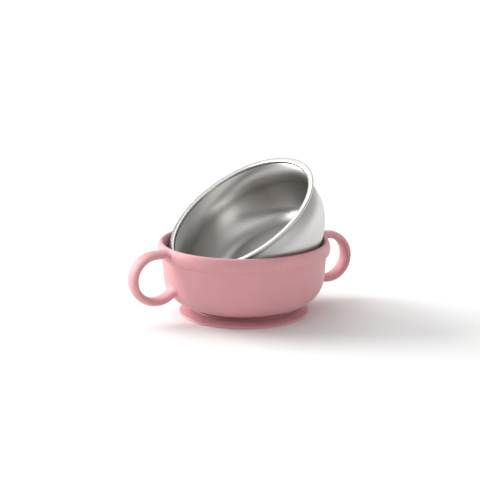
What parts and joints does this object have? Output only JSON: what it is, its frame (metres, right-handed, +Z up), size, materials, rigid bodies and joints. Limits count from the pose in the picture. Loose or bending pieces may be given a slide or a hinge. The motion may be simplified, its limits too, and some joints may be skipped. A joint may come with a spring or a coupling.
{
  "type": "suction bowl",
  "caption": "Toddler feeding bowl: silicone holder with two ring handles on a flared suction foot, and a loose steel bowl with a rolled rim leaning in it.",
  "frame": {"origin": "on the table at the centre of the suction foot", "axes": "+Z up, +X along the two handles"},
  "size_m": [0.1876, 0.13, 0.1126],
  "materials": {
    "silicone": "soft matte moulded silicone, dusty pink",
    "satin_steel": "satin brushed stainless steel",
    "polished_rim": "polished stainless steel"
  },
  "bodies": {
    "foot": {"suction_cup": "silicone"},
    "holder": {"foot_neck": "silicone", "outer_bowl": "silicone", "handle_right": "silicone", "handle_left": "silicone"},
    "steel": {"steel_bowl": "satin_steel", "steel_rim": "polished_rim"}
  },
  "joints": [
    {"name": "suction_press", "type": "slide", "parent": "foot", "child": "holder", "axis": [0, 0, 1], "range_m": [-0.002, 0], "stiffness_N_per_m": 6000, "springref_m": 0.0008, "deforming": ["suction_cup"]},
    {"name": "steel_bowl_lift", "type": "slide", "parent": "holder", "child": "steel", "axis": [0, 0, 1], "range_m": [0, 0.06]}
  ]
}
